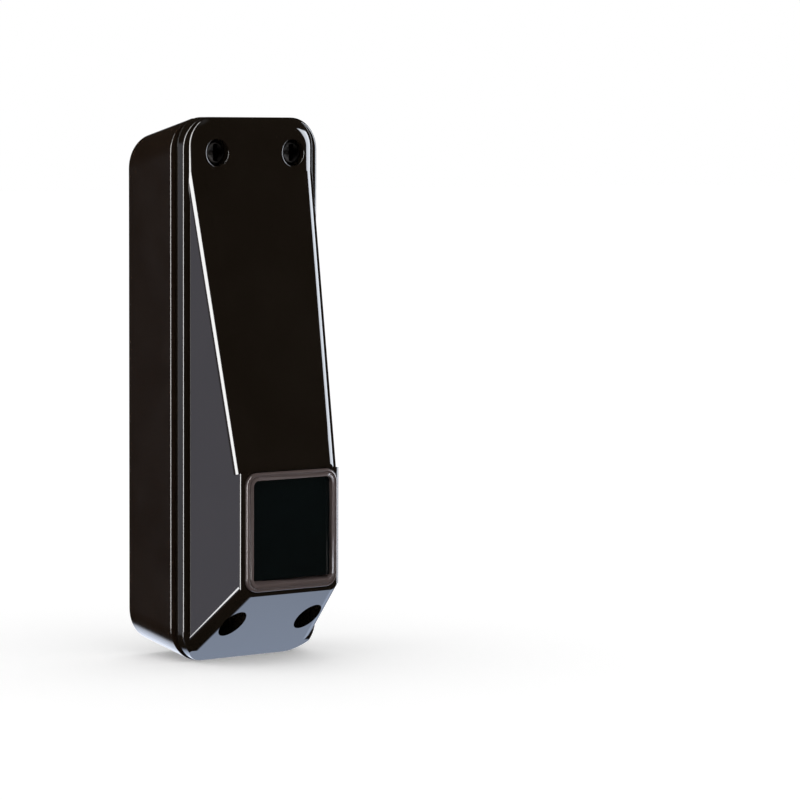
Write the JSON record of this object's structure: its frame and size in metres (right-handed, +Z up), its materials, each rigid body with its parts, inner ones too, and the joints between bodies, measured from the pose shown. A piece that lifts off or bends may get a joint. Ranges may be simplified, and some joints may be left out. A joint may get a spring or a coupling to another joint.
{
  "type": "gate safety photocell",
  "caption": "Tall wall-mounted photocell housing with a sloping gloss front cover, a square infrared window low on the front and screws at the corners.",
  "frame": {"origin": "centre of the back plate's wall face", "axes": "+X to the right seen from the front, +Y into the wall, +Z up; the window faces -Y"},
  "size_m": [0.0462, 0.042, 0.142],
  "materials": {
    "housing_plastic": "gloss moulded",
    "cover_plastic": "high gloss moulded",
    "ring_plastic": "bronze grey, satin gloss",
    "window_filter": "polished, dark filter",
    "seal_rubber": "matte",
    "board_laminate": "solder mask, satin",
    "screw_steel": "zinc plated",
    "cover_screw_steel": "dark plated",
    "contact_metal": "nickel plated",
    "chip_plastic": "matte moulded",
    "radio_can": "tinned can on a small board",
    "capacitor_sleeve": "sleeved can",
    "light_resin": "tinted resin",
    "resistor_ceramic": "glazed",
    "holder_plastic": "matte moulded",
    "cell_can": "sleeved can, bare ends",
    "barrel_plastic": "matte moulded",
    "lens_resin": "polished",
    "emitter_resin": "dark tinted resin",
    "terminal_plastic": "matte moulded",
    "switch_plastic": "matte moulded",
    "slider_plastic": "matte moulded"
  },
  "bodies": {
    "housing": {"rear_housing": "housing_plastic", "perimeter_seal": "seal_rubber", "cable_grommet": "seal_rubber", "circuit_board": "board_laminate", "board_screws": "screw_steel", "controller_chip": "chip_plastic", "radio_module": "radio_can", "storage_capacitor": "capacitor_sleeve", "status_light": "light_resin", "resistors": "resistor_ceramic", "battery_holder": "holder_plastic", "battery_left": "cell_can", "battery_right": "cell_can", "battery_contacts": "contact_metal", "optic_barrel": "barrel_plastic", "lens": "lens_resin", "emitter": "emitter_resin", "terminal_block": "terminal_plastic", "selector_switch": "switch_plastic"},
    "terminal_screw_left": {"terminal_screw_left": "screw_steel"},
    "terminal_screw_right": {"terminal_screw_right": "screw_steel"},
    "selector_slider_left": {"selector_slider_left": "slider_plastic"},
    "selector_slider_right": {"selector_slider_right": "slider_plastic"},
    "cover": {"front_cover": "cover_plastic", "window_ring": "ring_plastic", "window_plate": "window_filter", "window_seal": "seal_rubber", "screw_seals": "seal_rubber"},
    "cover_screw_top_left": {"cover_screw_top_left": "cover_screw_steel"},
    "cover_screw_top_right": {"cover_screw_top_right": "cover_screw_steel"},
    "cover_screw_bottom_left": {"cover_screw_bottom_left": "cover_screw_steel"},
    "cover_screw_bottom_right": {"cover_screw_bottom_right": "cover_screw_steel"}
  },
  "joints": [
    {"name": "cover_lift_off", "type": "slide", "parent": "housing", "child": "cover", "axis": [0, -1, 0], "range_m": [0, 0.06]},
    {"name": "cover_screw_top_left_turn", "type": "hinge", "parent": "cover", "child": "cover_screw_top_left", "pos_m": [-0.01235, -0.02, 0.0618], "axis": [0, -1, 0], "continuous": true},
    {"name": "cover_screw_top_right_turn", "type": "hinge", "parent": "cover", "child": "cover_screw_top_right", "pos_m": [0.01235, -0.02, 0.0618], "axis": [0, -1, 0], "continuous": true},
    {"name": "cover_screw_bottom_left_turn", "type": "hinge", "parent": "cover", "child": "cover_screw_bottom_left", "pos_m": [-0.01235, -0.02, -0.0603], "axis": [0, -1, 0], "continuous": true},
    {"name": "cover_screw_bottom_right_turn", "type": "hinge", "parent": "cover", "child": "cover_screw_bottom_right", "pos_m": [0.01235, -0.02, -0.0603], "axis": [0, -1, 0], "continuous": true},
    {"name": "terminal_screw_left_turn", "type": "hinge", "parent": "housing", "child": "terminal_screw_left", "pos_m": [0.00762, -0.013, -0.04695], "axis": [0, -1, 0], "continuous": true},
    {"name": "terminal_screw_right_turn", "type": "hinge", "parent": "housing", "child": "terminal_screw_right", "pos_m": [0.01263, -0.013, -0.04695], "axis": [0, -1, 0], "continuous": true},
    {"name": "selector_slider_left_travel", "type": "slide", "parent": "housing", "child": "selector_slider_left", "axis": [0, 0, 1], "range_m": [0, 0.0018]},
    {"name": "selector_slider_right_travel", "type": "slide", "parent": "housing", "child": "selector_slider_right", "axis": [0, 0, 1], "range_m": [0, 0.0018]}
  ]
}
